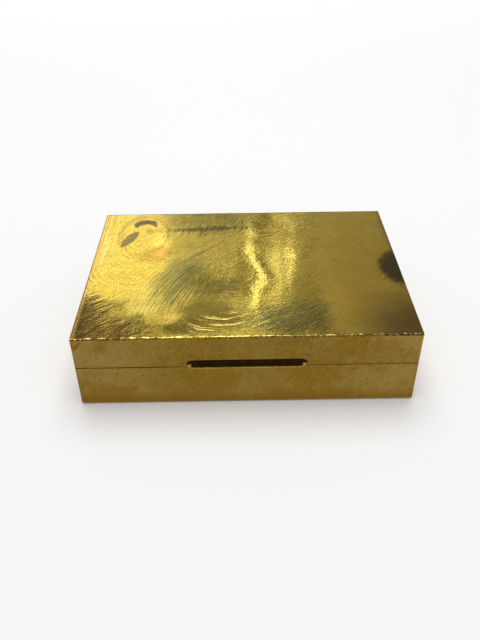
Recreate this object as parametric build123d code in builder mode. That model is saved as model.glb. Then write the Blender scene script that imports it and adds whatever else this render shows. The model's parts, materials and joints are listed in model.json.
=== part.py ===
"""Brass desk box with a hinged lid, heavy enough to hold papers down.

The shell is soldered up from brass: thick wall strips, and thin sheets for the top and the
bottom. The back edges carry a seven-knuckle hinge let into a bevelled groove, whose bevels
meet to stop the lid just past upright. Cedar boards line the inside and stand above the
base's rim, so that they guide the lid. Felt covers the underside.

Millimetres. +X is to the right, +Y to the hinge, +Z up. The origin is the middle of the
felt's underside.
"""

from build123d import *

import os
from math import cos, radians, sin, sqrt

# Outside of the box
WIDTH = 152.0
DEPTH = 112.0
FELT_THICKNESS = 0.8
BASE_HEIGHT = 20.6
LID_HEIGHT = 16.4
SEAM_GAP = 0.2

# Brass stock
WALL = 2.0
SHEET = 1.0
CORNER_RADIUS = 0.4
LID_EDGE_RADIUS = 0.25
FOOT_CHAMFER = 0.2

# Hinge
KNUCKLE_COUNT = 7
KNUCKLE_RADIUS = 1.8
KNUCKLE_GAP = 0.12
KNUCKLE_CHAMFER = 0.15
RUNNING_GAP = 0.25
PIN_RADIUS = 0.8
PIN_CLEARANCE = 0.05
PIN_RECESS = 0.2
OPENING_ANGLE = 100.0
STOP_MARGIN = 2.0
BEVEL_REACH = 3 * KNUCKLE_RADIUS
BEARER_THICKNESS = 2.8
BEARER_HEIGHT = 4.5

# Thumb groove, cut along the seam by a disc with a rounded edge
GROOVE_LENGTH = 54.7
GROOVE_DEPTH = 1.4
GROOVE_RISE = 1.2
CUTTER_RADIUS = 8.0
CUTTER_EDGE_RADIUS = 2.9

# Cedar lining and felt
BOARD = 2.5
LID_PANEL = 2.0
LIP_HEIGHT = 3.0
LIP_INSET = 0.35
LIP_ROUNDING = 0.5
LIP_HEADROOM = 0.4
FELT_MARGIN = 1.5
FELT_CORNER_RADIUS = 3.0

# Levels, from the table up
FLOOR_UNDERSIDE = FELT_THICKNESS
FLOOR_TOP = FLOOR_UNDERSIDE + SHEET
RIM = FLOOR_UNDERSIDE + BASE_HEIGHT
LID_RIM = RIM + SEAM_GAP
LID_TOP = LID_RIM + LID_HEIGHT
LID_CEILING = LID_TOP - SHEET
BASE_BOARD_FOOT = FLOOR_TOP + BOARD
LIP_TOP = RIM + LIP_HEIGHT
LID_BOARD_FOOT = LIP_TOP + LIP_HEADROOM
LID_PANEL_UNDERSIDE = LID_CEILING - LID_PANEL

# Planes of the walls, the bearers and the hinge, seen from above
SIDE = WIDTH / 2
BACK = DEPTH / 2
SIDE_INNER = SIDE - WALL
BACK_INNER = BACK - WALL
BEARER_FRONT = BACK_INNER - BEARER_THICKNESS
HINGE_Y = BACK - KNUCKLE_RADIUS
HINGE_Z = RIM + SEAM_GAP / 2
KNUCKLE_LENGTH = (WIDTH - (KNUCKLE_COUNT - 1) * KNUCKLE_GAP) / KNUCKLE_COUNT
KNUCKLE_PITCH = KNUCKLE_LENGTH + KNUCKLE_GAP

BOARD_SIDES = ("front", "right", "back", "left")


def write(piece, name):
    """Labels a finished piece and writes it as its own STEP file."""
    piece.part.label = name
    export_step(piece.part, f"parts/{name}.step")


def mitred_outline(side, inset):
    """Outline of one of the four lining boards, seen from above.

    The boards are a ring inside the walls, mitred where they meet. inset is how far the
    board's outer face stands back from the wall.
    """
    rings = []
    for step in (inset, BOARD):
        x, front, back = SIDE_INNER - step, step - BACK_INNER, BEARER_FRONT - step
        rings.append([(-x, front), (x, front), (x, back), (-x, back)])
    outer, inner = rings
    start = BOARD_SIDES.index(side)
    end = (start + 1) % len(BOARD_SIDES)
    return outer[start], outer[end], inner[end], inner[start]


def station_x(index):
    """Middle of a knuckle's station along the hinge, counted from the left."""
    return (index - (KNUCKLE_COUNT - 1) / 2) * KNUCKLE_PITCH


def hinge_cutter(first_own):
    """What the hinge takes out of one half's walls.

    The half's own knuckles are soldered into a seat of their own radius, and the other
    half's turn in a wider gutter. Outside the pin the edges are bevelled, so that the two
    halves meet there when the lid is fully open.
    """
    bevel = radians((OPENING_ANGLE + STOP_MARGIN) / 2)
    mouth_y = HINGE_Y + BEVEL_REACH * cos(bevel)
    mouth_rise = BEVEL_REACH * sin(bevel)
    with BuildPart() as cutter:
        for index in range(KNUCKLE_COUNT):
            own = index % 2 == first_own
            radius = KNUCKLE_RADIUS if own else KNUCKLE_RADIUS + RUNNING_GAP
            length = KNUCKLE_LENGTH if own else KNUCKLE_LENGTH + 2 * KNUCKLE_GAP
            with Locations((station_x(index), HINGE_Y, HINGE_Z)):
                Cylinder(radius, length, rotation=(0, 90, 0))
        with BuildSketch(Plane.YZ.offset(-SIDE - WALL)):
            with BuildLine():
                Polyline(
                    (HINGE_Y, HINGE_Z),
                    (mouth_y, HINGE_Z - mouth_rise),
                    (mouth_y, HINGE_Z + mouth_rise),
                    close=True,
                )
            make_face()
        extrude(amount=WIDTH + 2 * WALL)
    return cutter.part


def groove_cutter():
    """The path of a round-edged disc that is plunged in at the seam and run along it."""
    rim_radius = CUTTER_RADIUS - CUTTER_EDGE_RADIUS
    run_out = sqrt(CUTTER_RADIUS**2 - (CUTTER_RADIUS - GROOVE_DEPTH) ** 2)
    half_run = GROOVE_LENGTH / 2 - run_out
    spindle_y = GROOVE_DEPTH - BACK - CUTTER_RADIUS
    with BuildPart() as cutter:
        with BuildLine(Plane.XY.offset(HINGE_Z + GROOVE_RISE)) as path_lines:
            CenterArc((-half_run, spindle_y), rim_radius, 180, -90)
            Line((-half_run, spindle_y + rim_radius), (half_run, spindle_y + rim_radius))
            CenterArc((half_run, spindle_y), rim_radius, 90, -90)
        path = path_lines.wires()[0]
        with BuildSketch(Plane(path @ 0, z_dir=path % 0)):
            Circle(CUTTER_EDGE_RADIUS)
        sweep(path=path)
    return cutter.part


os.makedirs("parts", exist_ok=True)

groove_cut = groove_cutter()
hinge_cuts = {"base": hinge_cutter(first_own=0), "lid": hinge_cutter(first_own=1)}


# Walls: the front strip stands between the sides, and the back strip runs behind them
wall_levels = {"base": (FLOOR_TOP, RIM), "lid": (LID_RIM, LID_CEILING)}
for half, (foot, top) in wall_levels.items():
    with BuildPart() as front_wall:
        with BuildSketch(Plane.XY.offset(foot)):
            with Locations((0, -BACK)):
                Rectangle(2 * SIDE_INNER, WALL, align=(Align.CENTER, Align.MIN))
        extrude(amount=top - foot)
        add(groove_cut, mode=Mode.SUBTRACT)
    write(front_wall, f"{half}_front_wall")

    with BuildPart() as back_wall:
        with BuildSketch(Plane.XY.offset(foot)):
            with Locations((0, BACK)):
                Rectangle(WIDTH, WALL, align=(Align.CENTER, Align.MAX))
        extrude(amount=top - foot)
        outer_corners = back_wall.edges().filter_by(Axis.Z).group_by(Axis.Y)[-1]
        fillet(outer_corners, CORNER_RADIUS)
        add(hinge_cuts[half], mode=Mode.SUBTRACT)
    write(back_wall, f"{half}_back_wall")

    for side, outward in (("left", -1), ("right", 1)):
        with BuildPart() as side_wall:
            with BuildSketch(Plane.XY.offset(foot)):
                with Locations((outward * (SIDE - WALL / 2), -BACK)):
                    Rectangle(WALL, BACK + BACK_INNER, align=(Align.CENTER, Align.MIN))
            extrude(amount=top - foot)
            front_corners = side_wall.edges().filter_by(Axis.Z).group_by(Axis.Y)[0]
            fillet(front_corners.sort_by(Axis.X)[-1 if outward > 0 else 0], CORNER_RADIUS)
            add(hinge_cuts[half], mode=Mode.SUBTRACT)
        write(side_wall, f"{half}_{side}_wall")


# Sheets soldered across the walls: the base's bottom and the lid's top
with BuildPart() as base_floor_plate:
    with BuildSketch(Plane.XY.offset(FLOOR_UNDERSIDE)):
        Rectangle(WIDTH, DEPTH)
    extrude(amount=SHEET)
    fillet(base_floor_plate.edges().filter_by(Axis.Z), CORNER_RADIUS)
    chamfer(base_floor_plate.faces().sort_by(Axis.Z)[0].edges(), FOOT_CHAMFER)
write(base_floor_plate, "base_floor_plate")

with BuildPart() as lid_top_plate:
    with BuildSketch(Plane.XY.offset(LID_CEILING)):
        Rectangle(WIDTH, DEPTH)
    extrude(amount=SHEET)
    fillet(lid_top_plate.edges().filter_by(Axis.Z), CORNER_RADIUS)
    fillet(lid_top_plate.faces().sort_by(Axis.Z)[-1].edges(), LID_EDGE_RADIUS)
write(lid_top_plate, "lid_top_plate")


# Bearers: strips inside the back walls, deep enough to hold the hinge's groove
for half, foot in (("base", RIM - BEARER_HEIGHT), ("lid", LID_RIM)):
    with BuildPart() as hinge_bearer:
        with BuildSketch(Plane.XY.offset(foot)):
            with Locations((0, BACK_INNER)):
                Rectangle(2 * SIDE_INNER, BEARER_THICKNESS, align=(Align.CENTER, Align.MAX))
        extrude(amount=BEARER_HEIGHT)
        add(hinge_cuts[half], mode=Mode.SUBTRACT)
    write(hinge_bearer, f"{half}_hinge_bearer")


# Hinge: knuckles soldered by turns to the base and the lid, on one steel pin. The base's
# knuckles grip the pin, and the lid's turn on it.
for index in range(KNUCKLE_COUNT):
    owner = ("base", "lid")[index % 2]
    bore_radius = PIN_RADIUS if owner == "base" else PIN_RADIUS + PIN_CLEARANCE
    with BuildPart() as knuckle:
        with BuildSketch(Plane.YZ.offset(station_x(index) - KNUCKLE_LENGTH / 2)):
            with Locations((HINGE_Y, HINGE_Z)):
                Circle(KNUCKLE_RADIUS)
                Circle(bore_radius, mode=Mode.SUBTRACT)
        extrude(amount=KNUCKLE_LENGTH)
        end_edges = knuckle.edges().filter_by(GeomType.CIRCLE).sort_by(SortBy.RADIUS)[-2:]
        chamfer(end_edges, KNUCKLE_CHAMFER)
    write(knuckle, f"{owner}_hinge_knuckle_{index // 2 + 1}")

with BuildPart() as hinge_pin:
    with BuildSketch(Plane.YZ.offset(PIN_RECESS - SIDE)):
        with Locations((HINGE_Y, HINGE_Z)):
            Circle(PIN_RADIUS)
    extrude(amount=WIDTH - 2 * PIN_RECESS)
    chamfer(hinge_pin.edges().filter_by(GeomType.CIRCLE), KNUCKLE_CHAMFER)
write(hinge_pin, "hinge_pin")


# Base lining: a floor board under four mitred boards, whose lip stands above the rim. The
# back board is rabbeted to fit under the bearer.
with BuildPart() as base_lining_floor:
    with BuildSketch(Plane.XY.offset(FLOOR_TOP)):
        Rectangle(2 * SIDE_INNER, 2 * BACK_INNER)
    extrude(amount=BOARD)
write(base_lining_floor, "base_lining_floor")

for side in BOARD_SIDES:
    with BuildPart() as base_lining_board:
        for inset, foot, top in ((0, BASE_BOARD_FOOT, RIM), (LIP_INSET, RIM, LIP_TOP)):
            with BuildSketch(Plane.XY.offset(foot)):
                with BuildLine():
                    Polyline(*mitred_outline(side, inset), close=True)
                make_face()
            extrude(amount=top - foot)
        long_edges = base_lining_board.faces().sort_by(Axis.Z)[-1].edges()
        fillet(long_edges.sort_by(SortBy.LENGTH)[-2:], LIP_ROUNDING)
        if side == "back":
            with BuildSketch(Plane.XY.offset(BASE_BOARD_FOOT)):
                with Locations((0, BEARER_FRONT)):
                    Rectangle(2 * SIDE_INNER, BEARER_THICKNESS, align=(Align.CENTER, Align.MIN))
            extrude(amount=RIM - BEARER_HEIGHT - BASE_BOARD_FOOT)
    write(base_lining_board, f"base_lining_{side}")


# Lid lining: a panel under the top sheet, and four mitred boards that end above the lip.
# The back board is rabbeted to fit over the bearer.
with BuildPart() as lid_lining_panel:
    with BuildSketch(Plane.XY.offset(LID_PANEL_UNDERSIDE)):
        Rectangle(2 * SIDE_INNER, 2 * BACK_INNER)
    extrude(amount=LID_PANEL)
write(lid_lining_panel, "lid_lining_panel")

for side in BOARD_SIDES:
    with BuildPart() as lid_lining_board:
        with BuildSketch(Plane.XY.offset(LID_BOARD_FOOT)):
            with BuildLine():
                Polyline(*mitred_outline(side, 0), close=True)
            make_face()
        extrude(amount=LID_PANEL_UNDERSIDE - LID_BOARD_FOOT)
        foot_edges = lid_lining_board.faces().sort_by(Axis.Z)[0].edges()
        inner_edge = foot_edges.sort_by(SortBy.LENGTH)[-2]
        fillet(inner_edge, LIP_ROUNDING)
        if side == "back":
            with BuildSketch(Plane.XY.offset(LID_RIM + BEARER_HEIGHT)):
                with Locations((0, BEARER_FRONT)):
                    Rectangle(2 * SIDE_INNER, BEARER_THICKNESS, align=(Align.CENTER, Align.MIN))
            extrude(amount=LID_PANEL_UNDERSIDE - LID_RIM - BEARER_HEIGHT)
    write(lid_lining_board, f"lid_lining_{side}")


# Felt glued under the bottom sheet
with BuildPart() as felt_pad:
    with BuildSketch():
        RectangleRounded(WIDTH - 2 * FELT_MARGIN, DEPTH - 2 * FELT_MARGIN, FELT_CORNER_RADIUS)
    extrude(amount=FELT_THICKNESS)
write(felt_pad, "felt_pad")
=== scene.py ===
"""Looks of the hinged brass desk box: felt, brass, cedar and steel, a section for each.

Metres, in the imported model's frame: +X to the right, +Y to the hinge, +Z up.
"""

import json
from math import cos, pi, radians, sin

import bmesh
import bpy
from mathutils import Matrix, Quaternion, Vector

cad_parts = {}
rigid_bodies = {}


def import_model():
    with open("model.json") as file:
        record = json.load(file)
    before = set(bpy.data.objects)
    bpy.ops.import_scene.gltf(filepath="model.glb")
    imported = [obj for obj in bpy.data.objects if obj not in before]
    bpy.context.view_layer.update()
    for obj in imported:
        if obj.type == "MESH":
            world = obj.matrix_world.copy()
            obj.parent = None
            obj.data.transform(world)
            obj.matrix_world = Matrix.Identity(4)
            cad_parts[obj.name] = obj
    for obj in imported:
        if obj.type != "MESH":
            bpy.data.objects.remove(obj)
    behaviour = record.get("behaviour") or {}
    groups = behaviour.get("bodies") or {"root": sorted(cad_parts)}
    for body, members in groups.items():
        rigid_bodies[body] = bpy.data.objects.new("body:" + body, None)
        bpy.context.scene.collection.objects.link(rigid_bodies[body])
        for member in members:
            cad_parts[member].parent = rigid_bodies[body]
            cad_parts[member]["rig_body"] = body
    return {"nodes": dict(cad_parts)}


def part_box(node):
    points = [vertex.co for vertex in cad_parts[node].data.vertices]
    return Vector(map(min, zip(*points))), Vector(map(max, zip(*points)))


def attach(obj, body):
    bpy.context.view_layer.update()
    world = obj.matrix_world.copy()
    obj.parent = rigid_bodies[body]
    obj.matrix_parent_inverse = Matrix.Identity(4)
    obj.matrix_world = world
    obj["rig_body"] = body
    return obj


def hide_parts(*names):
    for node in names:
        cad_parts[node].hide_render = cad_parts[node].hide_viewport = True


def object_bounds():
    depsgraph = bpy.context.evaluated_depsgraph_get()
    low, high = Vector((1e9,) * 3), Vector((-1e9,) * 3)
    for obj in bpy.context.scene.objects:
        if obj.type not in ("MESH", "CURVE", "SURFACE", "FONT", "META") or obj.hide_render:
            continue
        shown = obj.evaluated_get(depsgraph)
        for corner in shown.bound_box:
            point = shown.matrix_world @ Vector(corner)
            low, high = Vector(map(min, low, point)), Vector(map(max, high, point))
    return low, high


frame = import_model()
cad_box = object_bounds()
MM = 0.001


# ---- Felt pad ---------------------------------------------------------------------------------
# Green wool felt, cut with rounded corners and glued under the bottom sheet, a little inside
# its edge. Standing has pressed its face flat and left its cut edge a little hairy.

class Signal:
    """A socket in a material. Arithmetic on signals adds Math nodes."""

    def __init__(self, tree, socket=None):
        self.tree = tree
        self.socket = socket

    def node(self, kind, settings=None, inputs=None, output=0):
        """Adds any other node: its settings first, then its inputs' values or links."""
        added = self.tree.nodes.new(kind)
        for name, value in (settings or {}).items():
            if name == "stops":
                ramp = added.color_ramp
                while len(ramp.elements) < len(value):
                    ramp.elements.new(0.5)
                for element, (place, colour) in zip(ramp.elements, value):
                    element.position = place
                    element.color = (*colour, 1.0)
            else:
                setattr(added, name, value)
        for name, value in (inputs or {}).items():
            if isinstance(value, Signal):
                self.tree.links.new(value.socket, added.inputs[name])
            else:
                added.inputs[name].default_value = value
        return Signal(self.tree, added.outputs[output])

    def maths(self, operation, *others):
        """A Math node with this signal as its first value."""
        return self.node("ShaderNodeMath", {"operation": operation}, dict(enumerate((self, *others))))

    def __add__(self, other):
        return self.maths("ADD", other)

    def __sub__(self, other):
        return self.maths("SUBTRACT", other)

    def __rsub__(self, other):
        return self.node("ShaderNodeMath", {"operation": "SUBTRACT"}, {0: other, 1: self})

    def __mul__(self, other):
        return self.maths("MULTIPLY", other)

    __radd__ = __add__
    __rmul__ = __mul__

    def step(self, low, high, bottom=0.0, top=1.0):
        """Eases from bottom to top as the signal goes from low to high."""
        settings = {"interpolation_type": "SMOOTHSTEP"}
        inputs = {"Value": self, "From Min": low, "From Max": high, "To Min": bottom, "To Max": top}
        return self.node("ShaderNodeMapRange", settings, inputs)

    def over(self, under, colour):
        """Lays a colour over another, as far as this mask says."""
        inputs = {0: self, 6: under, 7: colour}
        return self.node("ShaderNodeMix", {"data_type": "RGBA"}, inputs, output=2)

    def part(self, axis):
        return self.node("ShaderNodeSeparateXYZ", {}, {"Vector": self}, axis)


def shade(red, green, blue):
    """A colour given in display values from 0 to 255, as the shader's linear ones."""
    return (*(((value / 255 + 0.055) / 1.055) ** 2.4 for value in (red, green, blue)), 1.0)


def start_finish(name, **constants):
    """A new material, its Principled shader with the constants set, and a signal to build on."""
    material = bpy.data.materials.new(name)
    material.use_nodes = True
    shader = material.node_tree.nodes["Principled BSDF"]
    for socket, value in constants.items():
        shader.inputs[socket.replace("_", " ")].default_value = value
    return material, shader, Signal(material.node_tree)


def wire(shader, start, height=None, depth=0.0, **signals):
    """Links signals to the shader's sockets, and a bump of the given depth to its Normal."""
    if height is not None:
        signals["Normal"] = start.node("ShaderNodeBump", {}, {
            "Strength": 1.0, "Distance": depth, "Height": height})
    for socket, signal in signals.items():
        start.tree.links.new(signal.socket, shader.inputs[socket.replace("_", " ")])


def millimetres(start, stretch=(1, 1, 1), turn=0):
    """Object coordinates in millimetres, turned about Z in degrees and then stretched."""
    coords = start.node("ShaderNodeTexCoord", output=3)
    scale = [MM / factor for factor in stretch]
    return start.node("ShaderNodeMapping", {"vector_type": "TEXTURE"}, {
        "Vector": coords, "Rotation": (0, 0, radians(turn)), "Scale": scale})


def noise(vector, scale, detail=3.0, roughness=0.6):
    inputs = {"Vector": vector, "Scale": scale, "Detail": detail, "Roughness": roughness}
    return vector.node("ShaderNodeTexNoise", {}, inputs)


def shaken(vector, scale, amount):
    """The same place, shaken by noise, so that an outline drawn there comes out ragged."""
    inputs = {"Vector": vector, "Scale": scale, "Detail": 3.0, "Roughness": 0.6}
    cloud = vector.node("ShaderNodeTexNoise", {}, inputs, output=1)
    centred = vector.node("ShaderNodeVectorMath", {"operation": "SUBTRACT"}, {
        0: cloud, 1: (0.5, 0.5, 0.5)})
    move = vector.node("ShaderNodeVectorMath", {"operation": "SCALE"}, {0: centred, 3: amount})
    return vector.node("ShaderNodeVectorMath", {"operation": "ADD"}, {0: vector, 1: move})


def green_felt():
    material, shader, start = start_finish("felt_green", Roughness=1.0, Sheen_Weight=0.3)
    here = millimetres(start)
    fibres = noise(shaken(here, 1.2, 1.4), 2.4, 4, 0.7)
    clumps = noise(here, 0.25)
    colour = fibres.step(0.35, 0.68).over(shade(24, 58, 36), shade(54, 100, 64))
    colour = clumps.step(0.45, 0.7, 0, 0.45).over(colour, shade(30, 58, 44))
    wire(shader, start, fibres, 0.25 * MM, Base_Color=colour)
    return material


def clear_selection():
    if bpy.context.mode != "OBJECT":
        bpy.ops.object.mode_set(mode="OBJECT")
    bpy.ops.object.select_all(action="DESELECT")


def work_on(piece):
    clear_selection()
    piece.select_set(True)
    bpy.context.view_layer.objects.active = piece


def block(name, low, high):
    """A cube from one corner to the other, to be shaped further."""
    clear_selection()
    bpy.ops.mesh.primitive_cube_add(size=1, location=(low + high) / 2, scale=high - low)
    bpy.ops.object.transform_apply(location=True, rotation=True, scale=True)
    piece = bpy.context.object
    piece.name = name
    return piece


def round_edges(piece, wanted, radius, segments=3):
    """Bevels the edges that wanted(start, end) accepts."""
    bpy.ops.object.mode_set(mode="EDIT")
    bpy.ops.mesh.select_all(action="DESELECT")
    mesh = bmesh.from_edit_mesh(piece.data)
    for edge in mesh.edges:
        edge.select_set(wanted(edge.verts[0].co, edge.verts[1].co))
    bmesh.update_edit_mesh(piece.data)
    bpy.ops.mesh.bevel(offset=radius, segments=segments, affect="EDGES")
    bpy.ops.object.mode_set(mode="OBJECT")


def ease_edges(piece, radius, segments=2):
    """Takes the sharpness off every edge of a piece."""
    bevel = piece.modifiers.new("eased", "BEVEL")
    bevel.width = radius
    bevel.segments = segments
    bevel.limit_method = "ANGLE"
    bevel.angle_limit = radians(35)
    bpy.ops.object.modifier_apply(modifier=bevel.name)


def slice_up(piece, axis, spacing):
    """Cuts a piece across, so that waves and dents have something to move."""
    places = [corner[axis] for corner in piece.bound_box]
    low, high = min(places), max(places)
    count = round((high - low) / spacing)
    normal, place = [0, 0, 0], [0, 0, 0]
    normal[axis] = 1
    bpy.ops.object.mode_set(mode="EDIT")
    for cut in range(1, count):
        place[axis] = low + (high - low) * cut / count
        bpy.ops.mesh.select_all(action="SELECT")
        bpy.ops.mesh.bisect(plane_co=place, plane_no=normal)
    bpy.ops.object.mode_set(mode="OBJECT")


def press(piece, height, grain=None, share=None, direction="NORMAL", shift=(0.3, 0.1, 0.2)):
    """Moves a surface by height, in waves if a grain size is given, as far as share(point) says."""
    push = piece.modifiers.new("pressed", "DISPLACE")
    push.direction = direction
    push.strength = height
    push.mid_level = 0.0
    if share:
        group = piece.vertex_groups.new(name="pressed")
        for vertex in piece.data.vertices:
            group.add([vertex.index], share(vertex.co), "REPLACE")
        push.vertex_group = group.name
    if grain:
        waves = bpy.data.textures.new("waves", "CLOUDS")
        waves.noise_scale = grain
        waves.noise_depth = 1
        anchor = bpy.data.objects.new("waves_anchor", None)
        anchor.location = shift
        bpy.context.scene.collection.objects.link(anchor)
        bpy.context.view_layer.update()
        push.texture = waves
        push.texture_coords = "OBJECT"
        push.texture_coords_object = anchor
        push.mid_level = 0.5
    bpy.ops.object.modifier_apply(modifier=push.name)
    piece.vertex_groups.clear()
    if grain:
        bpy.data.objects.remove(anchor)
        bpy.data.textures.remove(waves)


def fit(piece, node, material, smooth=35):
    """Gives a piece its finish, and puts it in the place of its CAD node."""
    piece.data.materials.clear()
    piece.data.materials.append(material)
    work_on(piece)
    bpy.ops.object.shade_smooth_by_angle(angle=radians(smooth))
    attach(piece, frame["nodes"][node]["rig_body"])
    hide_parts(node)


def ease(value, low, high):
    """0 below low, 1 above high and a smooth climb between them."""
    share = min(1.0, max(0.0, (value - low) / (high - low)))
    return share * share * (3 - 2 * share)


FELT_CORNER = 3 * MM
PRESSED_FLAT = 0.2 * MM
FELT_SLICE = 1.5 * MM
felt_low, felt_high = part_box("felt_pad")


def on_cut_edge(point):
    """1 on the felt's cut edge, falling to 0 on its face and where it is glued."""
    return ease(point.z, felt_low.z, felt_low.z + PRESSED_FLAT) * (
        1 - ease(point.z, felt_high.z - PRESSED_FLAT, felt_high.z))


felt = block("felt", felt_low, felt_high)
round_edges(felt, lambda start, end: abs(start.z - end.z) > MM / 2, FELT_CORNER, 8)
ease_edges(felt, 0.15 * MM)
for axis in (0, 1):
    slice_up(felt, axis, FELT_SLICE)
press(felt, 0.25 * MM, 1.2 * MM, on_cut_edge)
fit(felt, "felt_pad", green_felt(), 60)


# ---- Patinated brass walls and bottom sheet ------------------------------------------------------
# 2 mm brass strips soldered at the corners, on a 1 mm bottom sheet. They were satin finished
# once and never polished since: years of handling have left them olive brown and blotched.

def remade(name, node):
    """A copy of a CAD node's mesh, its triangles merged and its flat faces made whole."""
    piece = bpy.data.objects.new(name, frame["nodes"][node].data.copy())
    bpy.context.scene.collection.objects.link(piece)
    work_on(piece)
    bpy.ops.mesh.customdata_custom_splitnormals_clear()
    bpy.ops.object.mode_set(mode="EDIT")
    bpy.ops.mesh.select_all(action="SELECT")
    bpy.ops.mesh.remove_doubles(threshold=0.002 * MM)
    bpy.ops.mesh.dissolve_limited(angle_limit=radians(1))
    bpy.ops.object.mode_set(mode="OBJECT")
    return piece


# Millimetres, as the finishes read them
HALF_WIDTH, HALF_DEPTH = cad_box[1][0] / MM, cad_box[1][1] / MM
SEAM_HEIGHT = (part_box("base_front_wall")[1].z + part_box("lid_front_wall")[0].z) / (2 * MM)
GROOVE_HALF_LENGTH = 27.35

pin_low, pin_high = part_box("hinge_pin")
knuckle_ends = [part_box(f"{half}_hinge_knuckle_1")[0].x for half in ("base", "lid")]


def patinated_brass():
    material, shader, start = start_finish("brass_patinated", Metallic=1.0)
    here = millimetres(start)
    across, deep, up = (here.part(axis) for axis in range(3))
    from_middle = across.maths("ABSOLUTE")

    # Cloudy patina, over a fine crystal grain that shows through it
    blotches = noise(shaken(here, 0.1, 8), 0.06, 4)
    mottle = noise(here, 0.45, 4)
    crystals = noise(shaken(here, 0.6, 1.5), 0.8, 5, 0.75)
    brushing = noise(millimetres(start, (0.12, 1, 2.2)), 2.0)
    colour = blotches.step(0.38, 0.66).over(shade(194, 152, 58), shade(204, 170, 78))
    colour = mottle.step(0.42, 0.72, 0, 0.35).over(colour, shade(172, 130, 40))
    colour = crystals.step(0.35, 0.5, 0.4, 0).over(colour, shade(154, 114, 38))
    colour = crystals.step(0.52, 0.66, 0, 0.38).over(colour, shade(226, 194, 100))

    # A dull grey bloom towards the ends, and a warmer band along the foot
    bloom = (from_middle + blotches * 40).step(58, 88) * up.step(2, 9)
    bloom = bloom * blotches.step(0.36, 0.6, 0.15, 1) * crystals.step(0.35, 0.6, 0.4, 1)
    colour = (bloom * 0.75).over(colour, shade(222, 190, 106))
    foot = 1 - (up + mottle * 5).step(3, 11)
    colour = (foot * 0.6).over(colour, shade(182, 128, 26))
    spots = noise(here, 0.16, 2).step(0.64, 0.74)
    colour = (spots * 0.5).over(colour, shade(170, 110, 24))

    # Dirt lies along the seam. The thumb groove is darkened by dirt and by painted shade, and its
    # worn lower ends carry painted glints
    from_front, above_seam = deep + HALF_DEPTH, up - SEAM_HEIGHT
    past_groove = from_middle - GROOVE_HALF_LENGTH
    near_face = from_front.step(0.15, 0.6) * (1 - from_front.step(3, 4))
    groove_height = above_seam.step(-2.5, -2) * (1 - above_seam.step(5.5, 6))
    in_groove = near_face * groove_height * (1 - past_groove.step(0.25, 0.85))
    worn_end_glint = past_groove.step(-2.95, -1.95) * (1 - above_seam.step(0, 0.9)) * in_groove
    groove_dirt_and_shade = in_groove * (1 - worn_end_glint) * mottle.step(0.2, 0.6, 0.9, 0.98)
    side_face = from_middle.step(HALF_WIDTH - 0.5, HALF_WIDTH - 0.2)
    end_face = deep.maths("ABSOLUTE").step(HALF_DEPTH - 0.5, HALF_DEPTH - 0.2)
    seam_dirt = above_seam.step(-0.45, -0.1) * (1 - above_seam.step(0.1, 0.4))
    seam_dirt = seam_dirt * side_face.maths("MAXIMUM", end_face)
    seam_dirt = seam_dirt * blotches.step(0.42, 0.6, 0.25, 0.9) * (1 - in_groove)
    grime_and_groove_shade = groove_dirt_and_shade.maths("MAXIMUM", seam_dirt)

    # More of it lies in the hinge's gutter and in the joints between its knuckles
    pin_middle = (pin_low + pin_high) / (2 * MM)
    first_joint = knuckle_ends[0] / MM
    pitch = (knuckle_ends[1] - knuckle_ends[0]) / MM
    beside, above = deep - pin_middle.y, up - pin_middle.z
    squared = beside * beside + above * above
    knuckles = (across - first_joint) * (1 / pitch)
    from_joint = knuckles.maths("PINGPONG", 0.5) * pitch
    joint_dirt = (1 - from_joint.step(0.1, 1.0)) * (1 - squared.step(3.5, 3.8))
    gutter_dirt = squared.step(3.5, 3.8) * (1 - squared.step(4.8, 6.5)) * 0.85
    hinge_dirt = joint_dirt.maths("MAXIMUM", gutter_dirt) * mottle.step(0.25, 0.6, 0.5, 1)
    grime_and_groove_shade = grime_and_groove_shade.maths("MAXIMUM", hinge_dirt)
    # Dirt, and painted shade in the thumb groove, darken the brass; then painted glints brighten the
    # groove's lower ends
    colour = grime_and_groove_shade.over(colour, shade(66, 46, 16))
    colour = worn_end_glint.over(colour, shade(250, 224, 130))

    rough = 0.34 + mottle * 0.16 + blotches * 0.08 + crystals * 0.06 + grime_and_groove_shade * 0.25
    height = brushing * 0.5 + crystals
    wire(shader, start, height, 0.012 * MM, Base_Color=colour, Roughness=rough)
    return material


brass_patinated = patinated_brass()
EDGE_WEAR = 0.12 * MM
WALL_WAVES = 0.06 * MM
WALL_SLICE = 3 * MM
SHEET_SLICE = 4 * MM

for node in ("base_front_wall", "base_left_wall", "base_right_wall", "base_back_wall",
             "lid_front_wall", "lid_left_wall", "lid_right_wall", "lid_back_wall"):
    wall = remade(node.replace("_wall", "_strip"), node)
    ease_edges(wall, EDGE_WEAR)
    low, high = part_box(node)
    length_axis = 0 if high.x - low.x > high.y - low.y else 1
    slice_up(wall, length_axis, WALL_SLICE)
    slice_up(wall, 2, WALL_SLICE)
    press(wall, WALL_WAVES, 14 * MM)
    fit(wall, node, brass_patinated)

bottom_low, bottom_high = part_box("base_floor_plate")
bottom_sheet = block("base_bottom_sheet", bottom_low, bottom_high)
ease_edges(bottom_sheet, 0.25 * MM, 3)
for axis in (0, 1):
    slice_up(bottom_sheet, axis, SHEET_SLICE)
press(bottom_sheet, WALL_WAVES, 20 * MM, direction="Z")
fit(bottom_sheet, "base_floor_plate", brass_patinated)


# ---- Hinge ------------------------------------------------------------------------------------
# Seven brass knuckles cut from one tube, soldered by turns to the base and the lid, with a
# steel pin through them. Bearer strips inside the back walls carry the hinge's groove.

for half in ("base", "lid"):
    bearer = remade(f"{half}_bearer", f"{half}_hinge_bearer")
    ease_edges(bearer, 0.08 * MM)
    fit(bearer, f"{half}_hinge_bearer", brass_patinated)


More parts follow.
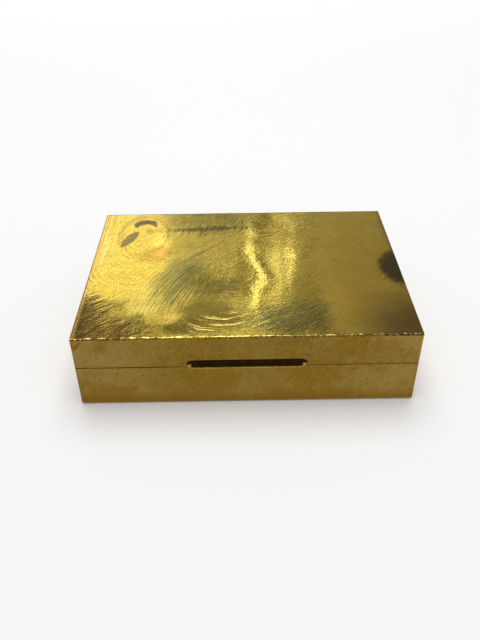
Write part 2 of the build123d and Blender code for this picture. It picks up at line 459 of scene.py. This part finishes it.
def knuckle(low, high, bore):
    """A length of tube: a cylinder with inset ends, bridged through, its rims rounded."""
    radius = (high.z - low.z) / 2
    clear_selection()
    bpy.ops.mesh.primitive_cylinder_add(
        vertices=48, radius=radius, depth=high.x - low.x, location=(low + high) / 2,
        rotation=(0, radians(90), 0))
    tube = bpy.context.object
    bpy.ops.object.transform_apply(location=True, rotation=True, scale=True)
    bpy.ops.object.mode_set(mode="EDIT")
    bpy.ops.mesh.select_all(action="DESELECT")
    mesh = bmesh.from_edit_mesh(tube.data)
    for face in mesh.faces:
        face.select_set(abs(face.normal.x) > 0.9)
    bmesh.update_edit_mesh(tube.data)
    bpy.ops.mesh.inset(thickness=radius - bore)
    bpy.ops.mesh.bridge_edge_loops()
    bpy.ops.object.mode_set(mode="OBJECT")
    ease_edges(tube, 0.2 * MM, 3)
    slice_up(tube, 0, 1.5 * MM)
    press(tube, 0.03 * MM, 3 * MM)
    return tube


PIN_RADIUS = (pin_high.z - pin_low.z) / 2
PIN_CLEARANCE = 0.05 * MM

for half, bore in (("base", PIN_RADIUS), ("lid", PIN_RADIUS + PIN_CLEARANCE)):
    nodes = [node for node in frame["nodes"] if node.startswith(f"{half}_hinge_knuckle")]
    first_low, first_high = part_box(nodes[0])
    pattern = knuckle(first_low, first_high, bore)
    for node in nodes:
        tube = bpy.data.objects.new(node.replace("hinge_knuckle", "knuckle"), pattern.data.copy())
        tube.data.transform(Matrix.Translation(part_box(node)[0] - first_low))
        bpy.context.scene.collection.objects.link(tube)
        fit(tube, node, brass_patinated)
    bpy.data.objects.remove(pattern)


def drawn_steel():
    material, shader, start = start_finish("steel_drawn", Metallic=1.0)
    here = millimetres(start)
    rust = noise(here, 0.9, 4)
    drawing = noise(millimetres(start, (0.1, 3, 3)), 1.5)
    colour = rust.step(0.5, 0.7, 0, 0.7).over(shade(160, 156, 150), shade(104, 76, 56))
    wire(shader, start, drawing, 0.01 * MM, Base_Color=colour, Roughness=0.3 + rust * 0.3)
    return material


clear_selection()
bpy.ops.mesh.primitive_cylinder_add(
    vertices=32, radius=PIN_RADIUS, depth=pin_high.x - pin_low.x,
    location=(pin_low + pin_high) / 2, rotation=(0, radians(90), 0))
pin = bpy.context.object
pin.name = "pin"
bpy.ops.object.transform_apply(location=True, rotation=True, scale=True)
ease_edges(pin, 0.3 * MM, 4)
bpy.ops.object.mode_set(mode="EDIT")
bpy.ops.mesh.select_all(action="DESELECT")
ends = bmesh.from_edit_mesh(pin.data)
for face in ends.faces:
    face.select_set(abs(face.normal.x) > 0.99)
bmesh.update_edit_mesh(pin.data)
bpy.ops.mesh.inset(thickness=0.15 * MM, use_individual=True, depth=-0.08 * MM)
bpy.ops.mesh.inset(thickness=0.15 * MM, use_individual=True, depth=-0.05 * MM)
bpy.ops.object.mode_set(mode="OBJECT")
fit(pin, "hinge_pin", drawn_steel())


# ---- Cedar lining -----------------------------------------------------------------------------
# Planed cedar, left bare so that it keeps its scent. Floor and panel lie flat, and mitred
# boards stand round them. The base's boards stand above its rim and guide the lid.

def cedar(name, turn):
    """Bare cedar with its grain along X, turned about Z for boards that run another way."""
    material, shader, start = start_finish(name, Roughness=0.62, Specular_IOR_Level=0.35)
    along = millimetres(start, (0.035, 1, 1), turn)
    swirled = shaken(along, 0.16, 5)
    rings = swirled.node("ShaderNodeTexWave", {"wave_type": "RINGS", "rings_direction": "X"}, {
        "Vector": swirled, "Scale": 0.22, "Distortion": 2.5, "Detail": 3.0, "Detail Scale": 0.8})
    pores = noise(millimetres(start, (0.12, 3.2, 3.2), turn), 1.0, 2)
    stripes = noise(millimetres(start, (0.02, 1.1, 1.1), turn), 1.0, 4)
    colour = rings.step(0.1, 0.9).over(shade(182, 116, 74), shade(150, 86, 52))
    colour = stripes.step(0.35, 0.7, 0, 0.6).over(colour, shade(166, 98, 66))
    colour = pores.step(0.6, 0.72, 0, 0.55).over(colour, shade(92, 50, 32))
    height = stripes * 0.5 - pores.step(0.58, 0.7, 0, 0.8)
    wire(shader, start, height, 0.05 * MM, Base_Color=colour)
    return material


BOARD_SLICE = 6 * MM
PANEL_SLICE = 8 * MM
cedar_across = cedar("cedar_across", 0)
cedar_deep = cedar("cedar_deep", 90)

for half in ("base", "lid"):
    for side in ("front", "right", "back", "left"):
        node = f"{half}_lining_{side}"
        board = remade(f"{half}_board_{side}", node)
        ease_edges(board, 0.15 * MM)
        across = side in ("front", "back")
        slice_up(board, 0 if across else 1, BOARD_SLICE)
        press(board, 0.05 * MM, 18 * MM)
        fit(board, node, cedar_across if across else cedar_deep, 40)

for node, name in (("base_lining_floor", "base_floor_board"), ("lid_lining_panel", "lid_panel")):
    low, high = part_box(node)
    panel = block(name, low, high)
    ease_edges(panel, 0.2 * MM)
    for axis in (0, 1):
        slice_up(panel, axis, PANEL_SLICE)
    press(panel, 0.05 * MM, 25 * MM, direction="Z")
    fit(panel, node, cedar_across, 40)


# ---- Lid top sheet ------------------------------------------------------------------------------
# A 1 mm brass sheet soldered over the lid's walls and polished by hand, again and again. The
# rubbing has left it wavy, scratched in arcs, rolled off on the left and nicked in front.

def patch(vector, centre, radii, turn=0.0, soft=0.3):
    """An oval mask on the lid's top, its centre and radii in millimetres."""
    inputs = {"Vector": vector, "Location": (*centre, 0), "Rotation": (0, 0, radians(turn)),
              "Scale": (*radii, 1e6)}
    oval = vector.node("ShaderNodeMapping", {"vector_type": "TEXTURE"}, inputs)
    away = oval.node("ShaderNodeVectorMath", {"operation": "LENGTH"}, {0: oval}, output=1)
    return away.step(1 + soft, 1 - soft)


def about(vector, centre):
    """Distance from an upright axis in millimetres, and the turn round it."""
    inputs = {"Vector": vector, "Location": (*centre, 0), "Scale": (1, 1, 1e6)}
    local = vector.node("ShaderNodeMapping", {"vector_type": "TEXTURE"}, inputs)
    away = local.node("ShaderNodeVectorMath", {"operation": "LENGTH"}, {0: local}, output=1)
    return away, local.part(1).maths("ARCTAN2", local.part(0))


def arc_scratches(vector, centre, fineness, drawn_out=0.03, detail=3.0):
    """Scratches along arcs about a centre, as a rubbing hand leaves them."""
    away, turn = about(vector, centre)
    along = away.node("ShaderNodeCombineXYZ", {}, {0: away * fineness, 1: turn * (drawn_out * 100)})
    return noise(along, 1.0, detail, 0.65)


top_low, top_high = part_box("lid_top_plate")
TOP_HEIGHT = top_high.z / MM
RUBBING_CENTRE = (-8, -12)
STROKE_CENTRE = (50, -54)


def polished_brass():
    material, shader, start = start_finish("brass_polished", Metallic=1.0)
    here = millimetres(start)
    across, deep, up = (here.part(axis) for axis in range(3))
    ragged = shaken(here, 0.12, 9)
    crisp = shaken(here, 0.25, 3)

    # The right third keeps its satin finish, and the left was rubbed brightest
    satin = patch(ragged, (70, 0), (40, 90), 0, 0.2)
    bright = patch(ragged, (-66, 17), (27.5, 45), 0, 0.14)

    # Scratches: leaning arcs on the left, upright ones behind, shallow ones in front, and
    # level ones elsewhere
    leaning = arc_scratches(here, STROKE_CENTRE, 2.6)
    upright = noise(millimetres(start, (3.0, 0.10, 1), -14), 1.0, 3, 0.65)
    level = noise(millimetres(start, (0.12, 2.6, 1)), 1.0, 3, 0.65)
    shallow = arc_scratches(here, RUBBING_CENTRE, 2.0)
    on_left = patch(ragged, (-38, -10), (26, 60), 0, 0.4)
    behind = patch(ragged, (-16, 27), (27, 38), 0, 0.5)
    in_front = patch(ragged, (2, -44), (30, 13), 6, 0.4)
    scratches = level * (1 - on_left) + leaning * on_left
    scratches = scratches * (1 - behind) + upright * behind
    scratches = scratches * (1 - in_front) + shallow * in_front
    calm = patch(ragged, (14, 6), (20, 54), 0, 0.25)
    plateau = patch(ragged, (-20, -42), (19, 13), 0, 0.35)
    fan = noise(millimetres(start, (0.12, 1.7, 1), 36), 1.0, 3, 0.65)

    # Faint flow marks that the rubbing left in the bright part, in uneven rings
    oval = start.node("ShaderNodeMapping", {"vector_type": "TEXTURE"}, {
        "Vector": shaken(here, 0.07, 12), "Location": (-54, 26, 0), "Scale": (1, 1.8, 1e6)})
    away = oval.node("ShaderNodeVectorMath", {"operation": "LENGTH"}, {0: oval}, output=1)
    flow = away * 0.42 + noise(here, 0.07, 2) * 3.2
    swirls = 1 - flow.maths("PINGPONG", 0.5).step(0.03, 0.32)
    swirls = swirls * noise(here, 0.09, 2).step(0.42, 0.6) * bright

    colour = satin.over(shade(228, 200, 80), shade(196, 168, 62))
    cloudy = noise(here, 0.08, 4, 0.6)
    colour = cloudy.step(0.4, 0.7, 0, 0.5).over(colour, shade(212, 180, 68))
    colour = (bright * 0.9).over(colour, shade(250, 216, 80))
    colour = (swirls * 0.34).over(colour, shade(196, 146, 48))
    colour = (plateau * 0.8).over(colour, shade(196, 168, 70))

    # A few bright hairlines cross the satin part, and fine lines follow the bright left edge
    hairlines = noise(millimetres(start, (0.05, 2.2, 1), -38), 1.0, 2).step(0.62, 0.7)
    hairlines = hairlines * noise(here, 0.05, 2).step(0.46, 0.6)
    hairlines = hairlines * patch(ragged, (46, -26), (18, 26), 0, 0.5)
    colour = (hairlines * 0.6).over(colour, shade(240, 218, 140))
    edge_lines = noise(shaken(millimetres(start, (1.1, 0.03, 1), -2), 0.3, 0.8), 1.0, 2)
    beside_edge = patch(ragged, (-73, 30), (6, 32), 0, 0.4)
    colour = (beside_edge * edge_lines.step(0.42, 0.34) * 0.6).over(colour, shade(176, 134, 48))
    colour = (beside_edge * edge_lines.step(0.5, 0.62) * 0.75).over(colour, shade(255, 236, 142))

    # Tarnish, and painted reflections of dark things in tarnish colours. Each mark is its place, the
    # pattern that breaks it up, its strength and its tint, and a weak one shows only where that
    # pattern lets it
    strokes = arc_scratches(here, STROKE_CENTRE, 1.7, 0.02, 4).step(0.38, 0.62)
    streaks = scratches.step(0.34, 0.64)
    speckle = noise(here, 1.1, 5, 0.8).step(0.36, 0.62)
    brown = patch(ragged, (-70, -54), (24, 22), -20, 0.7)
    rubbed_through = noise(millimetres(start, (0.12, 1.5, 1), 38), 1.0, 4, 0.7)
    rubbed_through = (speckle * 0.35 + rubbed_through.step(0.36, 0.6) * 0.8).step(0.15, 0.95)
    ring = patch(crisp, (-53, 33), (13.6, 20.5), 2, 0.1)
    ring = ring * (1 - patch(crisp, (-53, 31.5), (11.9, 19), 2, 0.12))
    crescent = patch(crisp, (-53, 43.5), (6.4, 5.4), 0, 0.14)
    crescent = crescent * (1 - patch(crisp, (-52.4, 39), (5.4, 5), 0, 0.14))
    for mask, broken, share, tint in (
        # Painted dark reflections in brown, broken by scratches: the corner in front on the left and
        # the left edge beside it
        (brown * (1 - patch(ragged, (-56, -40), (9, 5), 20, 0.6) * 0.5) * 0.8, rubbed_through, 0.92,
         (94, 64, 26)),
        (patch(ragged, (-72, -40), (7, 17), 0, 0.6) * 0.7, rubbed_through, 0.85, (98, 68, 28)),
        # A painted dark reflection along the right edge
        (patch(crisp, (77.5, 30), (3.5, 32), 2, 0.5), None, 0.6, (92, 76, 38)),
        (patch(ragged, (-46, -28), (8, 13), 0, 0.6) * 0.8, streaks, 0.8, (255, 226, 104)),
        (patch(ragged, (-32, -12), (10.5, 24), -22, 0.7) * 0.68, strokes, 0.75, (98, 106, 62)),
        (patch(ragged, (-49, -46), (5, 7), 0, 0.7) * 0.8, strokes, 0.4, (76, 74, 44)),
        (patch(ragged, (-20, 45), (24, 14), 0, 0.8) * 0.7, streaks, 0.5, (122, 108, 44)),
        (patch(crisp, (-19, 38), (21, 2.4), 3, 0.7) * 0.8, streaks, 0.75, (72, 62, 26)),
        (patch(ragged, (-12, 10), (26, 34), 0, 0.8) * 0.6, streaks, 0.2, (146, 124, 54)),
        (patch(ragged, (-13, -17), (14, 9), 10, 0.8) * 0.65, streaks, 0.6, (84, 76, 34)),
        # A painted dark reflection in green, in front of the middle
        (patch(ragged, (20, -43), (19, 12), 14, 0.5) * 0.7, fan.step(0.36, 0.62), 0.7, (92, 106, 72)),
        (patch(ragged, (64, -30), (44, 60), 0, 0.9), None, 0.45, (136, 106, 46)),
        # Painted dark reflections at the middle of the right edge and in its near corner
        (patch(crisp, (79, -2), (13, 16), 0, 0.12), None, 0.8, (78, 64, 32)),
        (patch(ragged, (79, -4), (12, 15), 0, 0.4) * 0.75, speckle, 0.75, (48, 38, 18)),
        (patch(ragged, (78, -54), (26, 26), 0, 0.7), None, 0.88, (84, 64, 34)),
        (ring, None, 0.5, (150, 108, 42)),
        (patch(ragged, (-45, 12), (9, 7), 30, 0.5) * 0.8, speckle, 0.6, (188, 138, 46)),
        # A painted dark reflection: the slash at the back on the left
        (patch(crisp, (-60, 28.5), (2.7, 8.6), -22, 0.16), None, 0.8, (92, 88, 46)),
        (patch(crisp, (-50, 36.5), (2.2, 3), 0, 0.3), None, 0.4, (150, 130, 64)),
        # A painted dark reflection: the crescent
        (crescent, None, 0.9, (84, 66, 34)),
    ):
        if broken:
            mask = (mask + broken * 0.7 - 0.35).step(0.22, 0.72)
        colour = (mask * share).over(colour, shade(*tint))

    # Where a rag with grit in it was drawn round in front, it left arcs of scratches, brightened by a
    # painted highlight
    arcs = arc_scratches(shaken(here, 0.05, 4), (-10, -24), 0.45, 0.006, 4).step(0.54, 0.64)
    arcs = arcs * patch(ragged, (-6, -45), (24, 7), 12, 0.4)
    colour = (arcs * 0.7).over(colour, shade(255, 234, 136))

    # The cut edge was never polished, and its joint is pitted in front
    rise, from_front, from_left = up - TOP_HEIGHT, deep + HALF_DEPTH, across + HALF_WIDTH
    cut_edge = 1 - rise.step(-0.8, -0.3)
    colour = (cut_edge * 0.75).over(colour, shade(186, 146, 60))
    pits = noise(millimetres(start, (1, 1, 2)), 0.9, 3).step(0.5, 0.6) * (1 - rise.step(-0.75, -0.55))
    rim_line = (1 - from_front.step(0.6, 1.4)) * across.step(-10, 20) * rise.step(-0.4, -0.2)
    burr = noise(millimetres(start, (0.8, 0.8, 0.8)), 1.0, 4, 0.8)
    on_burr = (1 - from_front.step(0.5, 1)) * rise.step(-0.65, -0.5)
    # Painted glints on the burr along the front edge, with dark nicks between them
    colour = (on_burr * burr.step(0.52, 0.6)).over(colour, shade(255, 238, 160))
    colour = (on_burr * burr.step(0.4, 0.48, 0.9, 0)).over(colour, shade(60, 42, 18))
    colour = pits.maths("MAXIMUM", rim_line * 0.6).over(colour, shade(44, 32, 14))
    worn_rim = (1 - from_left.step(0.8, 2.6)) * rise.step(-0.7, -0.4)
    colour = (worn_rim * burr.step(0.3, 0.6, 0.35, 0.85)).over(colour, shade(226, 180, 82))

    ripples = arc_scratches(here, RUBBING_CENTRE, 0.55, 0.015)
    glassy = (calm * 0.96).maths("MAXIMUM", bright * 0.8)
    glassy = glassy.maths("MAXIMUM", plateau * 0.8)
    rubbed = scratches * (1 - glassy)
    rough = 0.03 + satin * 0.27 + rubbed * 0.1 + brown * 0.15 + cut_edge * 0.25
    flutter = noise(millimetres(start, (0.5, 1, 1)), 0.8, 3)
    height = (scratches - 0.5) * (1 - satin * 0.85) * (1 - glassy)
    height = height + swirls * -0.4 + (ripples - 0.5) * 0.7 * in_front
    height = height + (flutter - 0.5) * calm * 0.6 + arcs * 1.3
    wire(shader, start, height, 0.055 * MM, Base_Color=colour, Roughness=rough)
    return material




CORNER_WEAR = 0.9 * MM
TOP_SLICES = (0.75 * MM, 0.9 * MM)
DENT_CENTRE, DENT_RADIUS, DENT_DEPTH = Vector((-7 * MM, -12 * MM)), 26 * MM, 0.28 * MM


def on_top(point):
    return ease(point.z, top_high.z - 0.35 * MM, top_high.z - 0.05 * MM)


def on_rubbed_left(point):
    return on_top(point) * (0.15 + 0.85 * (1 - ease(point.x, -45 * MM, -25 * MM)))


def on_middle(point):
    return on_top(point) * ease(point.x, -12 * MM, -2 * MM) * (1 - ease(point.x, 28 * MM, 40 * MM))


def in_dent(point):
    """A wide, shallow dent left of the middle."""
    return on_top(point) * (1 - ease((point.xy - DENT_CENTRE).length, 0, DENT_RADIUS))


def rolled_off(point):
    """How far polishing has taken the sheet down beside its left edge and near corner."""
    from_side = point.x - top_low.x
    from_corner = (point.xy - top_low.xy).length
    return on_top(point) * max(1 - ease(from_side, 0, 4 * MM), 1 - ease(from_corner, 0, 9 * MM))


def near_front_edge(point):
    return ease(point.z, top_high.z - 0.5 * MM, top_high.z - 0.2 * MM) * (
        1 - ease(point.y - top_low.y, 0.4 * MM, 1.1 * MM))


top_sheet = block("lid_top_sheet", top_low, top_high)
round_edges(top_sheet, lambda start, end: start.x < 0 and start.xy == end.xy and start.y < 0,
            CORNER_WEAR, 4)
round_edges(top_sheet, lambda start, end: min(start.z, end.z) > top_high.z - MM / 10, 0.3 * MM)
for axis, spacing in enumerate(TOP_SLICES):
    slice_up(top_sheet, axis, spacing)
press(top_sheet, 0.22 * MM, 26 * MM, on_top, "Z", (0.3, 0.1, 0))
press(top_sheet, 0.08 * MM, 9 * MM, on_rubbed_left, "Z", (0.7, 0.2, 0))
press(top_sheet, 0.045 * MM, 11 * MM, on_middle, "Z", (0.5, 0.9, 0))
press(top_sheet, 0.012 * MM, 3.5 * MM, on_middle, "Z", (0.2, 0.6, 0))
press(top_sheet, -DENT_DEPTH, None, in_dent, "Z")
press(top_sheet, -0.2 * MM, None, rolled_off, "Z")
press(top_sheet, 0.4 * MM, 1.1 * MM, near_front_edge, "NORMAL", (0.1, 0.4, 0))
fit(top_sheet, "lid_top_plate", polished_brass(), 40)


# ---- Studio -----------------------------------------------------------------------------------
# A pale floor and soft panel lights: a wide one behind the box on the left, narrow ones behind
# its middle, and one overhead. The camera looks down at the box's front.

bpy.context.scene.view_settings.view_transform = "Standard"

FLOOR_SIZE = 8.0
FLOOR_GLOW_START, FLOOR_GLOW_END = 300, 2500

clear_selection()
bpy.ops.mesh.primitive_plane_add(size=FLOOR_SIZE)
floor = bpy.context.object
floor.name = "floor"
paper, paper_shader, paper_start = start_finish(
    "floor_paper", Base_Color=(0.9, 0.9, 0.9, 1), Roughness=0.9, Emission_Strength=1.0)
distance = about(millimetres(paper_start), (0, 0))[0]
glow = distance.step(FLOOR_GLOW_START, FLOOR_GLOW_END).over(shade(0, 0, 0), shade(225, 225, 225))
wire(paper_shader, paper_start, Emission_Color=glow)
floor.data.materials.append(paper)
floor.visible_glossy = False

LIGHT_DISTANCE = 1.5


def soft_light(name, azimuth, elevation, width, height, brightness, colour=(1, 1, 1)):
    """A panel facing the lid, by its turn to the right of straight back and its climb.

    Its width is in degrees of turn, which are narrower higher up, and its height in degrees
    of climb. Its brightness is that of its face.
    """
    direction = Vector((
        sin(radians(azimuth)) * cos(radians(elevation)),
        cos(radians(azimuth)) * cos(radians(elevation)),
        sin(radians(elevation)),
    ))
    light = bpy.data.lights.new(name, "AREA")
    light.shape = "RECTANGLE"
    light.size = radians(width) * LIGHT_DISTANCE * cos(radians(elevation))
    light.size_y = radians(height) * LIGHT_DISTANCE
    light.energy = brightness * pi * light.size * light.size_y
    light.color = colour
    lamp = bpy.data.objects.new(name, light)
    lamp.location = Vector((0, 0, top_high.z)) + direction * LIGHT_DISTANCE
    lamp.rotation_mode = "QUATERNION"
    lamp.rotation_quaternion = direction.to_track_quat("Z", "Y")
    bpy.context.scene.collection.objects.link(lamp)


# The wide panel is eight strips with gaps, so its reflection in the wavy lid is uneven
for strip in range(8):
    soft_light(f"back_left_{strip + 1}", -16, 23.6 + strip * 1.9, 17, 1.25, 1.42)
soft_light("middle_fill", -4.5, 32, 10, 13, 0.24)

# Narrow panels make the ridge and the bands beside it, and wider, dimmer ones fill in around them
COOL_WHITE = (0.93, 1.0, 1.12)
soft_light("ridge_behind", 1.6, 26.8, 0.26, 5.6, 2.4, COOL_WHITE)
soft_light("ridge_in_front", 1.5, 34.0, 0.6, 8.4, 3.8, COOL_WHITE)
soft_light("second_strip", 4.5, 32.4, 1.1, 4.4, 1.2, COOL_WHITE)
soft_light("thin_strip", 6.3, 32.2, 0.35, 4.4, 4.2, COOL_WHITE)
soft_light("upper_bar", 4.0, 30.3, 4.0, 0.5, 1.8)
soft_light("lower_bar", 3.6, 35.4, 3.6, 0.6, 2.4)
soft_light("right_fill", 6.5, 35.2, 7, 7.5, 0.24)
soft_light("edge_fill", 8.0, 30.6, 3.2, 3.4, 0.2)
soft_light("back_low", 5.6, 26.4, 3.2, 3.0, 0.75)

# A higher panel is mirrored nearer the lid's front, and the overhead one lights everything
soft_light("front_catch", -2, 43, 14, 5, 1.3)
soft_light("overhead", 0, 82, 300, 60, 3.1)

world = bpy.data.worlds.new("studio")
bpy.context.scene.world = world
world.use_nodes = True
air = Signal(world.node_tree)
direction = air.node("ShaderNodeTexCoord", output=0)
upward = direction.part(2) * 0.5 + 0.5
sideways = direction.part(0)
grey = upward.node("ShaderNodeValToRGB", {"stops": [
    (0.0, (0.34, 0.34, 0.34)), (0.5, (0.37, 0.37, 0.37)), (0.70, (0.34, 0.34, 0.34)),
    (0.8, (0.20, 0.20, 0.20)), (1.0, (0.75, 0.75, 0.75))]}, {"Fac": upward})
seen = air.node("ShaderNodeLightPath", output=0)
sky = seen.over(grey, (1, 1, 1, 1))
background = world.node_tree.nodes["Background"]
world.node_tree.links.new(sky.socket, background.inputs["Color"])
strength = sideways.maths("ABSOLUTE") * 0.35 + sideways * 0.08 + 1
world.node_tree.links.new(strength.socket, background.inputs["Strength"])

CAMERA_PLACE = Vector((-3.7, -278.3, 213.9)) * MM
CAMERA_AIM = Vector((-2.7, -20.25, 20)) * MM
CAMERA_TILT = radians(-0.77)
FOCAL_LENGTH = 37.35

camera_data = bpy.data.cameras.new("camera")
camera_data.sensor_width = 36
camera_data.lens = FOCAL_LENGTH
camera_data.clip_start = 0.01
camera = bpy.data.objects.new("camera", camera_data)
camera.location = CAMERA_PLACE
camera.rotation_mode = "QUATERNION"
facing = (CAMERA_AIM - CAMERA_PLACE).to_track_quat("-Z", "Y")
camera.rotation_quaternion = facing @ Quaternion((0, 0, 1), CAMERA_TILT)
bpy.context.scene.collection.objects.link(camera)
bpy.context.scene.camera = camera
